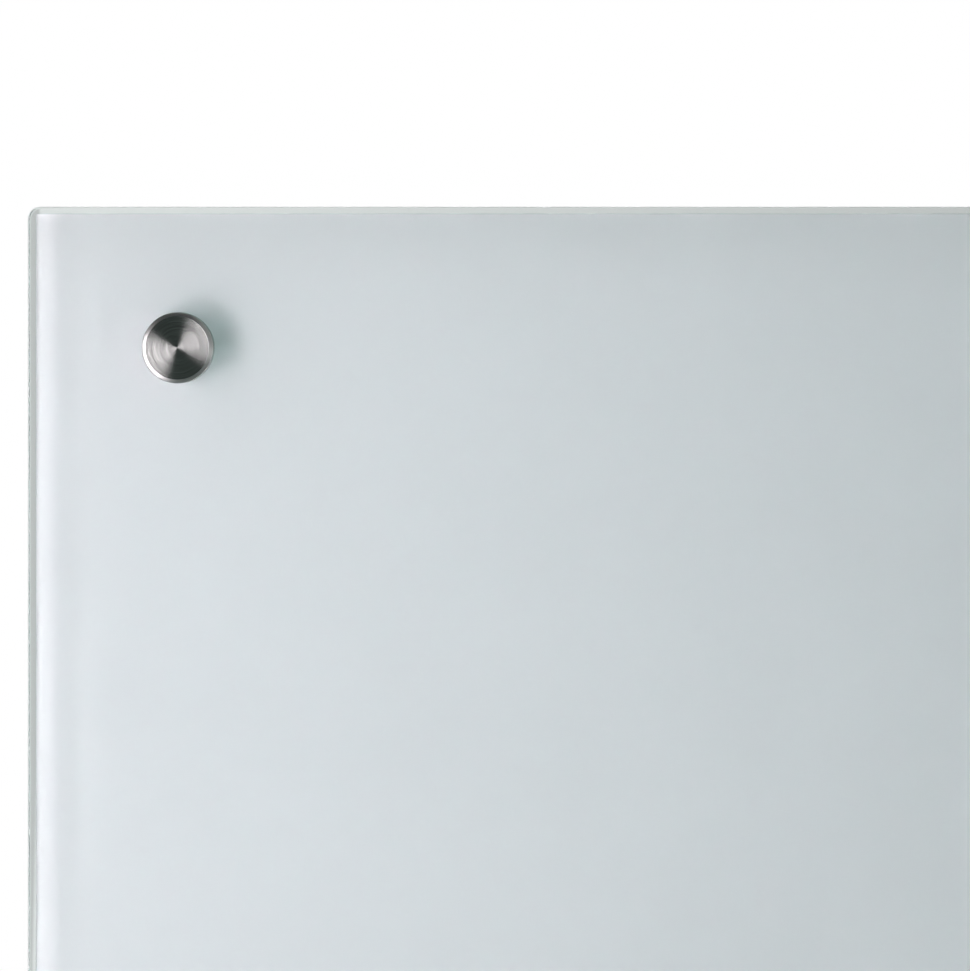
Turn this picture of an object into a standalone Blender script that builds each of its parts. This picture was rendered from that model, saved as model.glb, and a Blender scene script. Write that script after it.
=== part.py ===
# Glass whiteboard: one frameless sheet of clear glass, white on its back, held off the wall
# by four round steel standoffs. Each cap unscrews from its barrel to release the glass.
#
# Metres. +Z is up, +X is to the right as seen from the front, and the front faces -Y.
# The origin is on the wall plane, at the centre of the four standoffs.
#
# Every piece is first shaped in the board's own axes: X to the right, Y up and Z out from the
# wall. The empty called board_axes turns these upright.

import math

import bmesh
import bpy

# Glass panel
PANEL_WIDTH = 0.914
PANEL_HEIGHT = 0.610
GLASS_THICKNESS = 0.005
CORNER_RADIUS = 0.0032
EDGE_ROUND = 0.0004  # radius of the rounded corners of the ground edge, front and back
EDGE_LAND = 0.0001  # half of the flat that is left at least between the two rounds
HOLE_INSET_SIDE = 0.041  # hole centre to the panel's left or right edge
HOLE_INSET_TOP = 0.038  # hole centre to the panel's top or bottom edge
HOLE_CHAMFER = 0.0005

# White backing on the rear face of the glass
BACKING_THICKNESS = 0.0004
BACKING_INSET = 0.0017  # clear margin between the backing and the edge of the glass
BACKING_CORNER_RADIUS = 0.001

# Clearances
SEAT_GAP = 0.0003  # between two pieces that touch, and round threads and shanks
CUT_OVERRUN = 0.001  # how far a cutter reaches past the face that it cuts

# Standoff, cap and barrel alike
STANDOFF_DIAMETER = 0.019

# Cap
CAP_HEIGHT = 0.0065
CAP_FACE_THICKNESS = 0.0017  # metal left over the blind hole
CAP_RIM_WIDTH = 0.001  # how far the sloping rim reaches in from the side
CAP_RIM_ROUND = 0.0004  # between the rim and the side
CAP_FOOT_CHAMFER = 0.0003

# Threaded stud, held in the cap
STUD_DIAMETER = 0.008
STUD_TO_SCREW = 0.0058  # room between the stud's end and the wall screw
STUD_END_CHAMFER = 0.0008
SOCKET_FLATS = 0.004
SOCKET_DEPTH = 0.004

# Nylon sleeve and washers round the stud
SLEEVE_WALL = 0.0014
WASHER_MARGIN = 0.0005  # how far a washer stays inside the standoff's rim
WASHER_THICKNESS = 0.001

# Barrel
BARREL_LENGTH = 0.020
BARREL_FLOOR = 0.003  # thickness of the floor that the wall screw clamps
BARREL_END_CHAMFER = 0.0004
BARREL_MOUTH_CHAMFER = 0.0006

# Countersunk wall screw
SCREW_CORE_DIAMETER = 0.003
SCREW_LENGTH = 0.036
SCREW_TIP = 0.004
SCREW_HEAD_ROOM = 0.0005  # round the head, in the bore of the barrel
SCREW_HEAD_RIM = 0.0003
SCREW_HOLE_ROOM = 0.001  # round the core, in the floor of the barrel
CROSS_WIDTH = 0.0042
CROSS_BLADE = 0.0009
CROSS_DEPTH = 0.0021
CROSS_TAPER_SHARE = 0.45

# Nylon wall plug
PLUG_WALL = 0.0012
PLUG_LENGTH = 0.028
PLUG_NECK = 0.0075
PLUG_NOSE = 0.005
PLUG_NOSE_CHAMFER = 0.0008
PLUG_BARB_HEIGHT = 0.0005
PLUG_SLOT_WIDTH = 0.0008
PLUG_FIN_HEIGHT = 0.0007
PLUG_FIN_THICKNESS = 0.0008
PLUG_FIN_MARGIN = 0.002  # from the end of a fin to the end of the neck
COLLAR_LIP = 0.0012
COLLAR_THICKNESS = 0.0007
COLLAR_ROOM = 0.0013  # round the collar, in the recess of the barrel

# Counts
PLUG_BARBS = 5
CAP_SIDES = 40
BARREL_SIDES = 32
WASHER_SIDES = 24
HOLE_SIDES = 24
STUD_SIDES = 20
SCREW_SIDES = 16
PLUG_SIDES = 16
SOCKET_SIDES = 6
CORNER_STEPS = 5
EDGE_STEPS = 3
RIM_STEPS = 4
SMOOTH_ANGLE = math.radians(32)
CAP_RIM_SLOPE = math.radians(22)
MERGE_DISTANCE = 0.00001

# Radii that follow from what passes through them
STANDOFF_RADIUS = STANDOFF_DIAMETER / 2
BORE_RADIUS = STUD_DIAMETER / 2 + SEAT_GAP
SLEEVE_RADIUS = BORE_RADIUS + SLEEVE_WALL
HOLE_RADIUS = SLEEVE_RADIUS + SEAT_GAP
WASHER_RADIUS = STANDOFF_RADIUS - WASHER_MARGIN
CORE_RADIUS = SCREW_CORE_DIAMETER / 2
HEAD_RADIUS = BORE_RADIUS - SCREW_HEAD_ROOM
SCREW_HOLE_RADIUS = CORE_RADIUS + SCREW_HOLE_ROOM
PLUG_BORE_RADIUS = CORE_RADIUS + SEAT_GAP
PLUG_RADIUS = PLUG_BORE_RADIUS + PLUG_WALL
COLLAR_RADIUS = PLUG_RADIUS + COLLAR_LIP

# The recess in the barrel's rear takes the collar of the wall plug
RECESS_RADIUS = COLLAR_RADIUS + COLLAR_ROOM
RECESS_DEPTH = COLLAR_THICKNESS + SEAT_GAP

# The screw head's 45 degree cone lies parallel to its seat, which starts at the barrel's bore
SCREW_SEAT_Z = RECESS_DEPTH + BARREL_FLOOR
SCREW_Z = SCREW_SEAT_Z - SCREW_HEAD_ROOM + SCREW_HEAD_RIM + SEAT_GAP * math.sqrt(2)

# Places along Z, out from the wall
STUD_Z = SCREW_Z + STUD_TO_SCREW
REAR_WASHER_Z = BARREL_LENGTH + SEAT_GAP
BACKING_Z = REAR_WASHER_Z + WASHER_THICKNESS + SEAT_GAP
GLASS_Z = BACKING_Z + BACKING_THICKNESS + SEAT_GAP
GLASS_FRONT_Z = GLASS_Z + GLASS_THICKNESS
FRONT_WASHER_Z = GLASS_FRONT_Z + SEAT_GAP
CAP_Z = FRONT_WASHER_Z + WASHER_THICKNESS + SEAT_GAP
CAP_HOLE_DEPTH = CAP_HEIGHT - CAP_FACE_THICKNESS
STUD_LENGTH = CAP_Z + CAP_HOLE_DEPTH - SEAT_GAP - STUD_Z

# The standoffs stand at the four corners of a rectangle
STANDOFF_X = PANEL_WIDTH / 2 - HOLE_INSET_SIDE
STANDOFF_Y = PANEL_HEIGHT / 2 - HOLE_INSET_TOP
STANDOFFS = {
    "top_left": (-STANDOFF_X, STANDOFF_Y),
    "top_right": (STANDOFF_X, STANDOFF_Y),
    "bottom_left": (-STANDOFF_X, -STANDOFF_Y),
    "bottom_right": (STANDOFF_X, -STANDOFF_Y),
}


def empty_scene():
    for item in list(bpy.data.objects):
        bpy.data.objects.remove(item)


def new_collection(name):
    collection = bpy.data.collections.new(name)
    bpy.context.scene.collection.children.link(collection)
    return collection


def place(name, data, collection, parent=None, location=(0, 0, 0)):
    item = bpy.data.objects.new(name, data)
    collection.objects.link(item)
    item.parent = parent
    item.location = location
    return item


def finish(name, colour, roughness, metallic=0.0):
    material = bpy.data.materials.new(name)
    material.use_nodes = True
    shader = material.node_tree.nodes["Principled BSDF"]
    shader.inputs["Base Color"].default_value = (*colour, 1.0)
    shader.inputs["Roughness"].default_value = roughness
    shader.inputs["Metallic"].default_value = metallic
    return material


# A profile of (radius, z) points runs down the outer side, from top to bottom. A closed one
# then comes back up its bore.
def turned(name, profile, sides, collection, closed=False):
    edges = [(i, i + 1) for i in range(len(profile) - 1)]
    if closed:
        edges.append((len(profile) - 1, 0))
    mesh = bpy.data.meshes.new(name)
    mesh.from_pydata([(radius, 0, z) for radius, z in profile], edges, [])
    item = place(name, mesh, collection)
    screw = item.modifiers.new("turn", "SCREW")
    screw.axis = "Z"
    screw.angle = math.tau
    screw.steps = sides
    screw.render_steps = sides
    screw.use_merge_vertices = True
    screw.merge_threshold = MERGE_DISTANCE
    return item


# A box for cutting or joining, whose rear end is taper_share as wide as its front end
def block(name, size, centre, collection, taper_share=1.0):
    box = bmesh.new()
    bmesh.ops.create_cube(box, size=1.0)
    bmesh.ops.scale(box, vec=size, verts=box.verts)
    rear = [vertex for vertex in box.verts if vertex.co.z < 0]
    bmesh.ops.scale(box, vec=(taper_share, taper_share, 1.0), verts=rear)
    mesh = bpy.data.meshes.new(name)
    box.to_mesh(mesh)
    box.free()
    return place(name, mesh, collection, location=centre)


def boolean(item, cutter, operation="DIFFERENCE"):
    cutter.hide_render = True
    cutter.display_type = "WIRE"
    modifier = item.modifiers.new(cutter.name, "BOOLEAN")
    modifier.operation = operation
    modifier.solver = "EXACT"
    modifier.object = cutter


# The item's modifiers are made real in a new mesh, which several objects can share. The item
# and its cutters are then removed.
def finished_mesh(item, material, cutters=()):
    bpy.context.view_layer.update()
    depsgraph = bpy.context.evaluated_depsgraph_get()
    mesh = bpy.data.meshes.new_from_object(item.evaluated_get(depsgraph))
    mesh.name = item.name
    mesh.materials.append(material)
    mesh.shade_smooth()
    mesh.set_sharp_from_angle(angle=SMOOTH_ANGLE)
    for used in (item, *cutters):
        bpy.data.objects.remove(used)
    return mesh


def arc(centre, radius, start, end, steps):
    points = []
    for i in range(steps + 1):
        angle = start + (end - start) * i / steps
        points.append((centre[0] + radius * math.cos(angle), centre[1] + radius * math.sin(angle)))
    return points


def rounded_rectangle(width, height, corner):
    points = []
    for quarter, (side, rise) in enumerate([(1, 1), (-1, 1), (-1, -1), (1, -1)]):
        centre = (side * (width / 2 - corner), rise * (height / 2 - corner))
        start = quarter * math.pi / 2
        points += arc(centre, corner, start, start + math.pi / 2, CORNER_STEPS)
    return points


# A flat sheet, centred on Z = 0, from closed outlines. The second and later ones are holes.
# A round edge takes its radius from both faces.
def sheet_mesh(name, outlines, thickness, material, collection, edge=0.0):
    curve = bpy.data.curves.new(name, "CURVE")
    curve.dimensions = "2D"
    curve.fill_mode = "BOTH"
    curve.extrude = thickness / 2 - edge
    curve.bevel_depth = edge
    curve.bevel_resolution = EDGE_STEPS
    curve.offset = -edge
    for outline in outlines:
        spline = curve.splines.new("POLY")
        spline.points.add(len(outline) - 1)
        for point, (x, y) in zip(spline.points, outline):
            point.co = (x, y, 0, 1)
        spline.use_cyclic_u = True
    mesh = finished_mesh(place(name, curve, collection), material)
    weld = bmesh.new()
    weld.from_mesh(mesh)
    bmesh.ops.remove_doubles(weld, verts=weld.verts, dist=MERGE_DISTANCE)
    weld.to_mesh(mesh)
    weld.free()
    return mesh


# Glass panel, a slab with a ground flat edge, rounded where it meets the faces. Each hole is
# drilled through and chamfered on both faces.
def build_glass(parts, cutters, board):
    material = finish("clear glass", (0.80, 0.86, 0.85), 0.02)
    half = GLASS_THICKNESS / 2
    edge = min(EDGE_ROUND, half - EDGE_LAND, CORNER_RADIUS)
    outline = rounded_rectangle(PANEL_WIDTH, PANEL_HEIGHT, CORNER_RADIUS)
    slab = sheet_mesh("glass slab", [outline], GLASS_THICKNESS, material, parts, edge)
    glass = place("glass_panel", slab, parts, board, (0, 0, GLASS_Z + half))

    top = half + CUT_OVERRUN
    mouth = HOLE_RADIUS + HOLE_CHAMFER + CUT_OVERRUN
    profile = [
        (0, top),
        (mouth, top),
        (HOLE_RADIUS, half - HOLE_CHAMFER),
        (HOLE_RADIUS, -half + HOLE_CHAMFER),
        (mouth, -top),
        (0, -top),
    ]
    drill = finished_mesh(turned("drill", profile, HOLE_SIDES, cutters), material)
    for corner, (x, y) in STANDOFFS.items():
        boolean(glass, place(corner + "_drill", drill, cutters, board, (x, y, GLASS_Z + half)))


def build_backing(parts, board):
    material = finish("white backing", (0.83, 0.86, 0.87), 0.6)
    width = PANEL_WIDTH - 2 * BACKING_INSET
    height = PANEL_HEIGHT - 2 * BACKING_INSET
    outlines = [rounded_rectangle(width, height, BACKING_CORNER_RADIUS)]
    for centre in STANDOFFS.values():
        outlines.append(arc(centre, HOLE_RADIUS, 0, math.tau, HOLE_SIDES)[:-1])
    backing = sheet_mesh("backing", outlines, BACKING_THICKNESS, material, parts)
    place("white_backing", backing, parts, board, (0, 0, BACKING_Z + BACKING_THICKNESS / 2))


# Cap, from its foot to its flat face, with a sloping rim and a blind hole for the stud
def cap_mesh(parts):
    run = CAP_RIM_WIDTH - CAP_RIM_ROUND * (1 - math.sin(CAP_RIM_SLOPE))
    drop = run * math.tan(CAP_RIM_SLOPE) + CAP_RIM_ROUND * math.cos(CAP_RIM_SLOPE)
    rim = (STANDOFF_RADIUS - CAP_RIM_ROUND, CAP_HEIGHT - drop)
    profile = [(0, CAP_HEIGHT), (STANDOFF_RADIUS - CAP_RIM_WIDTH, CAP_HEIGHT)]
    profile += arc(rim, CAP_RIM_ROUND, math.pi / 2 - CAP_RIM_SLOPE, 0, RIM_STEPS)
    profile += [
        (STANDOFF_RADIUS, CAP_FOOT_CHAMFER),
        (STANDOFF_RADIUS - CAP_FOOT_CHAMFER, 0),
        (BORE_RADIUS, 0),
        (BORE_RADIUS, CAP_HOLE_DEPTH),
        (0, CAP_HOLE_DEPTH),
    ]
    material = finish("brushed steel cap", (0.62, 0.61, 0.59), 0.28, 1.0)
    return finished_mesh(turned("cap", profile, CAP_SIDES, parts), material)


# Stud, from its end in the barrel, where it has the hexagon socket that drives it
def stud_mesh(parts, cutters):
    radius = STUD_DIAMETER / 2
    profile = [
        (0, STUD_LENGTH),
        (radius - STUD_END_CHAMFER, STUD_LENGTH),
        (radius, STUD_LENGTH - STUD_END_CHAMFER),
        (radius, STUD_END_CHAMFER),
        (radius - STUD_END_CHAMFER, 0),
        (0, 0),
    ]
    stud = turned("stud", profile, STUD_SIDES, parts)
    corner = SOCKET_FLATS / math.sqrt(3)
    key = [(0, SOCKET_DEPTH), (corner, SOCKET_DEPTH), (corner, -CUT_OVERRUN), (0, -CUT_OVERRUN)]
    socket = turned("socket", key, SOCKET_SIDES, cutters)
    boolean(stud, socket)
    return finished_mesh(stud, finish("steel stud", (0.55, 0.55, 0.54), 0.35, 1.0), [socket])


# Washer or sleeve, bored for the stud
def ring_mesh(name, radius, height, material, parts):
    profile = [(radius, height), (radius, 0), (BORE_RADIUS, 0), (BORE_RADIUS, height)]
    return finished_mesh(turned(name, profile, WASHER_SIDES, parts, closed=True), material)


# Barrel, from the wall. Its bore ends at a countersunk floor, and a shallow recess in its rear
# leaves a flat ring on the wall.
def barrel_mesh(parts):
    profile = [
        (STANDOFF_RADIUS - BARREL_END_CHAMFER, BARREL_LENGTH),
        (STANDOFF_RADIUS, BARREL_LENGTH - BARREL_END_CHAMFER),
        (STANDOFF_RADIUS, BARREL_END_CHAMFER),
        (STANDOFF_RADIUS - BARREL_END_CHAMFER, 0),
        (RECESS_RADIUS, 0),
        (RECESS_RADIUS, RECESS_DEPTH),
        (SCREW_HOLE_RADIUS, RECESS_DEPTH),
        (SCREW_HOLE_RADIUS, SCREW_SEAT_Z - (BORE_RADIUS - SCREW_HOLE_RADIUS)),
        (BORE_RADIUS, SCREW_SEAT_Z),
        (BORE_RADIUS, BARREL_LENGTH - BARREL_MOUTH_CHAMFER),
        (BORE_RADIUS + BARREL_MOUTH_CHAMFER, BARREL_LENGTH),
    ]
    material = finish("brushed steel barrel", (0.60, 0.59, 0.58), 0.3, 1.0)
    return finished_mesh(turned("barrel", profile, BARREL_SIDES, parts, closed=True), material)


# Wall screw, from the flat of its head back to its point, at the core of its thread. Two
# tapered blades cut the cross recess.
def screw_mesh(parts, cutters):
    profile = [
        (0, 0),
        (HEAD_RADIUS, 0),
        (HEAD_RADIUS, -SCREW_HEAD_RIM),
        (CORE_RADIUS, -SCREW_HEAD_RIM - (HEAD_RADIUS - CORE_RADIUS)),
        (CORE_RADIUS, -SCREW_LENGTH + SCREW_TIP),
        (0, -SCREW_LENGTH),
    ]
    screw = turned("screw", profile, SCREW_SIDES, parts)
    depth = CROSS_DEPTH + CUT_OVERRUN
    centre = (0, 0, depth / 2 - CROSS_DEPTH)
    sizes = [(CROSS_WIDTH, CROSS_BLADE, depth), (CROSS_BLADE, CROSS_WIDTH, depth)]
    blades = [block("cross blade", size, centre, cutters, CROSS_TAPER_SHARE) for size in sizes]
    for blade in blades:
        boolean(screw, blade)
    return finished_mesh(screw, finish("zinc plated steel", (0.58, 0.59, 0.60), 0.35, 1.0), blades)


# Wall plug, from the wall's face inwards, with its collar standing out into the barrel's
# recess. Each barb is steep towards the wall's face and slopes towards the nose. Two crossed
# slots split the barbed stretch into four fingers, and two fins on the neck stop it turning.
def plug_mesh(parts, cutters):
    barbed = PLUG_LENGTH - PLUG_NECK - PLUG_NOSE
    root = PLUG_RADIUS - PLUG_BARB_HEIGHT
    profile = [
        (COLLAR_RADIUS, COLLAR_THICKNESS),
        (COLLAR_RADIUS, 0),
        (PLUG_RADIUS, 0),
        (PLUG_RADIUS, -PLUG_NECK),
    ]
    for barb in range(PLUG_BARBS):
        shoulder = -PLUG_NECK - barbed * (barb + 1) / PLUG_BARBS
        profile += [(root, shoulder), (PLUG_RADIUS, shoulder)]
    profile += [
        (PLUG_RADIUS, -PLUG_LENGTH + PLUG_NOSE_CHAMFER),
        (PLUG_RADIUS - PLUG_NOSE_CHAMFER, -PLUG_LENGTH),
        (PLUG_BORE_RADIUS, -PLUG_LENGTH),
        (PLUG_BORE_RADIUS, COLLAR_THICKNESS),
    ]
    plug = turned("plug", profile, PLUG_SIDES, parts, closed=True)

    reach = 2 * (PLUG_RADIUS + CUT_OVERRUN)
    middle = (0, 0, -PLUG_NECK - barbed / 2)
    sizes = [(reach, PLUG_SLOT_WIDTH, barbed), (PLUG_SLOT_WIDTH, reach, barbed)]
    slots = [block("slot", size, middle, cutters) for size in sizes]
    for slot in slots:
        boolean(plug, slot)

    # A fin starts inside the wall of the plug and the collar, and stands out from the neck
    low = -PLUG_NECK + PLUG_FIN_MARGIN
    high = COLLAR_THICKNESS / 2
    size = (PLUG_FIN_HEIGHT + PLUG_BARB_HEIGHT, PLUG_FIN_THICKNESS, high - low)
    fin_x = root + size[0] / 2
    fins = [block("fin", size, (x, 0, (low + high) / 2), cutters) for x in (fin_x, -fin_x)]
    for fin in fins:
        boolean(plug, fin, "UNION")
    return finished_mesh(plug, finish("grey nylon plug", (0.55, 0.56, 0.57), 0.5), slots + fins)


# The eight pieces of each standoff stand on its axis, and the four standoffs share their meshes
def build_standoffs(parts, cutters, board):
    nylon = finish("clear nylon", (0.82, 0.83, 0.81), 0.4)
    washer = ring_mesh("washer", WASHER_RADIUS, WASHER_THICKNESS, nylon, parts)
    sleeve = ring_mesh("sleeve", SLEEVE_RADIUS, GLASS_FRONT_Z - BACKING_Z, nylon, parts)
    pieces = {
        "wall_plug": (plug_mesh(parts, cutters), 0),
        "wall_screw": (screw_mesh(parts, cutters), SCREW_Z),
        "barrel": (barrel_mesh(parts), 0),
        "rear_washer": (washer, REAR_WASHER_Z),
        "hole_sleeve": (sleeve, BACKING_Z),
        "front_washer": (washer, FRONT_WASHER_Z),
        "cap_stud": (stud_mesh(parts, cutters), STUD_Z),
        "cap": (cap_mesh(parts), CAP_Z),
    }
    for corner, (x, y) in STANDOFFS.items():
        axis = place(corner + "_axis", None, parts, board, (x, y, 0))
        for piece, (mesh, z) in pieces.items():
            place(corner + "_" + piece, mesh, parts, axis, (0, 0, z))


def main():
    empty_scene()
    parts = new_collection("glass whiteboard")
    cutters = new_collection("cutters")
    board = place("board_axes", None, parts)
    board.rotation_euler = (math.pi / 2, 0, 0)
    build_glass(parts, cutters, board)
    build_backing(parts, board)
    build_standoffs(parts, cutters, board)
    bpy.context.view_layer.update()
    print("Stud length", round(STUD_LENGTH, 5), "of which in the barrel", round(BARREL_LENGTH - STUD_Z, 5))


main()
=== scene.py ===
# Glass whiteboard on four steel standoffs: the finish of every piece, the light and the camera.
# Metres. +Z is up and the board faces -Y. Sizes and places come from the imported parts.
import math

import bmesh
import bpy
from mathutils import Matrix, Vector


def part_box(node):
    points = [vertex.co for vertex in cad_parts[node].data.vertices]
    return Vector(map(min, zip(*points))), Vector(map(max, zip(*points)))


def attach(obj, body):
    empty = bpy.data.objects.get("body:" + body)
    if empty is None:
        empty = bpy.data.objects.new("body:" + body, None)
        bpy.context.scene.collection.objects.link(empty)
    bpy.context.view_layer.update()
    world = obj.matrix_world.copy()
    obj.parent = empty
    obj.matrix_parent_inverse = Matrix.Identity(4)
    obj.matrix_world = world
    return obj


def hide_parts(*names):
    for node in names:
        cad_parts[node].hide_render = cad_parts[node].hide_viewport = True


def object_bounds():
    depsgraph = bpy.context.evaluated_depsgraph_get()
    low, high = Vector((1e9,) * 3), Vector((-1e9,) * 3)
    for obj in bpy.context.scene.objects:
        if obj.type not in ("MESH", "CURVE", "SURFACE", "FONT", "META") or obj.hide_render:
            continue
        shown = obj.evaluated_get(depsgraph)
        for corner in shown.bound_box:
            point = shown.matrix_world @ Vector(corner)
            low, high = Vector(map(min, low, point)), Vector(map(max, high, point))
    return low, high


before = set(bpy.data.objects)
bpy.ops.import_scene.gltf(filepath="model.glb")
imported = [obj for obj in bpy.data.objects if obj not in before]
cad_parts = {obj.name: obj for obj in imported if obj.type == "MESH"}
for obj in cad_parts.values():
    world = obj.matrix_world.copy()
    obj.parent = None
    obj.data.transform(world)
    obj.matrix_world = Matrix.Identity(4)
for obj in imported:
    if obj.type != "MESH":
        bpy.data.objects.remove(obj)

cadLow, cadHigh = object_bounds()
scene = bpy.context.scene
scene.view_settings.view_transform = "Standard"
scene.cycles.blur_glossy = 0.0  # light through the glass stays sharp, and so does the cap's shadow
scene.cycles.sample_clamp_indirect = 40  # the default cuts off lamplight that the glass passes on
print("frame loaded")

mm = 0.001
upright = (math.pi / 2, 0, 0)  # turns a piece's own Z to point out from the wall
level = 0.999  # a face whose own normal has this much Z is one of the flats

# How each standoff's nodes are named in the frame, and here
standoffs = {
    "top_left": "TopLeft",
    "top_right": "TopRight",
    "bottom_left": "BottomLeft",
    "bottom_right": "BottomRight",
}


# General tools

def addObject(name, data):
    item = bpy.data.objects.new(name, data)
    scene.collection.objects.link(item)
    return item


# The modifiers of an object made real in a new mesh. The object and its cutters go.
def bakedMesh(item, cutters=()):
    bpy.context.view_layer.update()
    depsgraph = bpy.context.evaluated_depsgraph_get()
    mesh = bpy.data.meshes.new_from_object(item.evaluated_get(depsgraph))
    mesh.name = item.name
    for used in (item, *cutters):
        bpy.data.objects.remove(used)
    return mesh


def smoothMesh(mesh, sharpFrom=32):
    mesh.shade_smooth()
    mesh.set_sharp_from_angle(angle=math.radians(sharpFrom))
    return mesh


# Cuts leave slivers: their doubled corners are merged, and what opens is closed
def tidyMesh(mesh, distance=0.004 * mm):
    repair = bmesh.new()
    repair.from_mesh(mesh)
    bmesh.ops.remove_doubles(repair, verts=repair.verts, dist=distance)
    bmesh.ops.dissolve_degenerate(repair, edges=repair.edges, dist=distance)
    bmesh.ops.holes_fill(repair, edges=[edge for edge in repair.edges if edge.is_boundary], sides=0)
    repair.to_mesh(mesh)
    repair.free()
    return mesh


def arc(centre, radius, start, end, steps):
    points = []
    for i in range(steps + 1):
        angle = math.radians(start + (end - start) * i / steps)
        points.append((centre[0] + radius * math.cos(angle), centre[1] + radius * math.sin(angle)))
    return points


# A profile of (radius, z) points down its outer side, turned round Z
def turned(name, profile, sides, closed=False):
    edges = [(i, i + 1) for i in range(len(profile) - 1)]
    if closed:
        edges.append((len(profile) - 1, 0))
    mesh = bpy.data.meshes.new(name)
    mesh.from_pydata([(radius, 0, z) for radius, z in profile], edges, [])
    item = addObject(name, mesh)
    turn = item.modifiers.new("turn", "SCREW")
    turn.steps = sides
    turn.render_steps = sides
    turn.use_merge_vertices = True
    turn.merge_threshold = 0.01 * mm
    return item


def block(name, size, centre, taper=1.0):
    box = bmesh.new()
    bmesh.ops.create_cube(box, size=1.0)
    bmesh.ops.scale(box, vec=size, verts=box.verts)
    bmesh.ops.scale(box, vec=(taper, taper, 1.0), verts=[v for v in box.verts if v.co.z < 0])
    mesh = bpy.data.meshes.new(name)
    box.to_mesh(mesh)
    box.free()
    item = addObject(name, mesh)
    item.location = centre
    return item


def boolean(item, tool, operation="DIFFERENCE"):
    tool.hide_render = True
    step = item.modifiers.new(tool.name, "BOOLEAN")
    step.operation = operation
    step.solver = "EXACT"
    step.object = tool


# A flat sheet centred on Z = 0 from closed outlines, the later ones holes, with a round edge
def sheet(name, outlines, thickness, edge, edgeSteps):
    curve = bpy.data.curves.new(name, "CURVE")
    curve.dimensions = "2D"
    curve.fill_mode = "BOTH"
    curve.extrude = thickness / 2 - edge
    curve.bevel_depth = edge
    curve.bevel_resolution = edgeSteps
    curve.offset = -edge
    for outline in outlines:
        spline = curve.splines.new("POLY")
        spline.points.add(len(outline) - 1)
        for point, (x, y) in zip(spline.points, outline):
            point.co = (x, y, 0, 1)
        spline.use_cyclic_u = True
    mesh = bakedMesh(addObject(name, curve))
    weld = bmesh.new()
    weld.from_mesh(mesh)
    bmesh.ops.remove_doubles(weld, verts=weld.verts, dist=0.01 * mm)
    weld.to_mesh(mesh)
    weld.free()
    return mesh


def roundedRectangle(width, height, corner, steps):
    points = []
    for quarter, (side, rise) in enumerate([(1, 1), (-1, 1), (-1, -1), (1, -1)]):
        centre = (side * (width / 2 - corner), rise * (height / 2 - corner))
        points += arc(centre, corner, 90 * quarter, 90 * quarter + 90, steps)
    return points


# A node's size along X, away from the wall and along Z, its middle, and how far out its rear is
def measure(node):
    low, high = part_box(node)
    size = high - low
    middle = (low + high) / 2
    return size, middle, -high.y


# One piece of the standoffs, four times: each stands in for its node and rides where that rides
def placeFour(label, node, mesh, body):
    for corner, ending in standoffs.items():
        middle, rear = measure(corner + "_" + node)[1:]
        piece = addObject(label + ending, mesh)
        piece.rotation_euler = upright
        piece.location = (middle.x, -rear, middle.z)
        weighted = piece.modifiers.new("even shading", "WEIGHTED_NORMAL")
        weighted.keep_sharp = True
        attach(piece, "board" if body == "board" else corner + "_" + body)
        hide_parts(corner + "_" + node)


# Finishes

def newFinish(name, colour, roughness, metallic=0.0):
    material = bpy.data.materials.new(name)
    material.use_nodes = True
    tree = material.node_tree
    shader = tree.nodes["Principled BSDF"]
    shader.inputs["Base Color"].default_value = (*colour, 1)
    shader.inputs["Roughness"].default_value = roughness
    shader.inputs["Metallic"].default_value = metallic
    return material, tree, shader


def addNode(tree, kind, values=None, **settings):
    node = tree.nodes.new("ShaderNode" + kind)
    for name, value in settings.items():
        setattr(node, name, value)
    for socket, value in (values or {}).items():
        node.inputs[socket].default_value = value
    return node


def join(tree, source, output, target, socket):
    tree.links.new(source.outputs[output], target.inputs[socket])


def noise(tree, source, output, scale, detail=2.0, roughness=0.5):
    values = {"Scale": scale, "Detail": detail, "Roughness": roughness}
    texture = addNode(tree, "TexNoise", values)
    join(tree, source, output, texture, "Vector")
    return texture


# A texture's middle range spread between two values
def between(tree, texture, low, high, start=0.3, end=0.7):
    values = {"From Min": start, "From Max": end, "To Min": low, "To Max": high}
    spread = addNode(tree, "MapRange", values)
    join(tree, texture, 0, spread, "Value")
    return spread


def colourBetween(tree, shader, texture, first, second, start=0.3, end=0.7):
    mix = addNode(tree, "Mix", data_type="RGBA")
    mix.inputs["A"].default_value = (*first, 1)
    mix.inputs["B"].default_value = (*second, 1)
    share = between(tree, texture, 0.0, 1.0, start, end)
    join(tree, share, "Result", mix, "Factor")
    tree.links.new(mix.outputs["Result"], shader.inputs["Base Color"])


def addBump(tree, shader, texture, strength, depth):
    bump = addNode(tree, "Bump", {"Strength": strength, "Distance": depth})
    join(tree, texture, 0, bump, "Height")
    join(tree, bump, "Normal", shader, "Normal")


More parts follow.
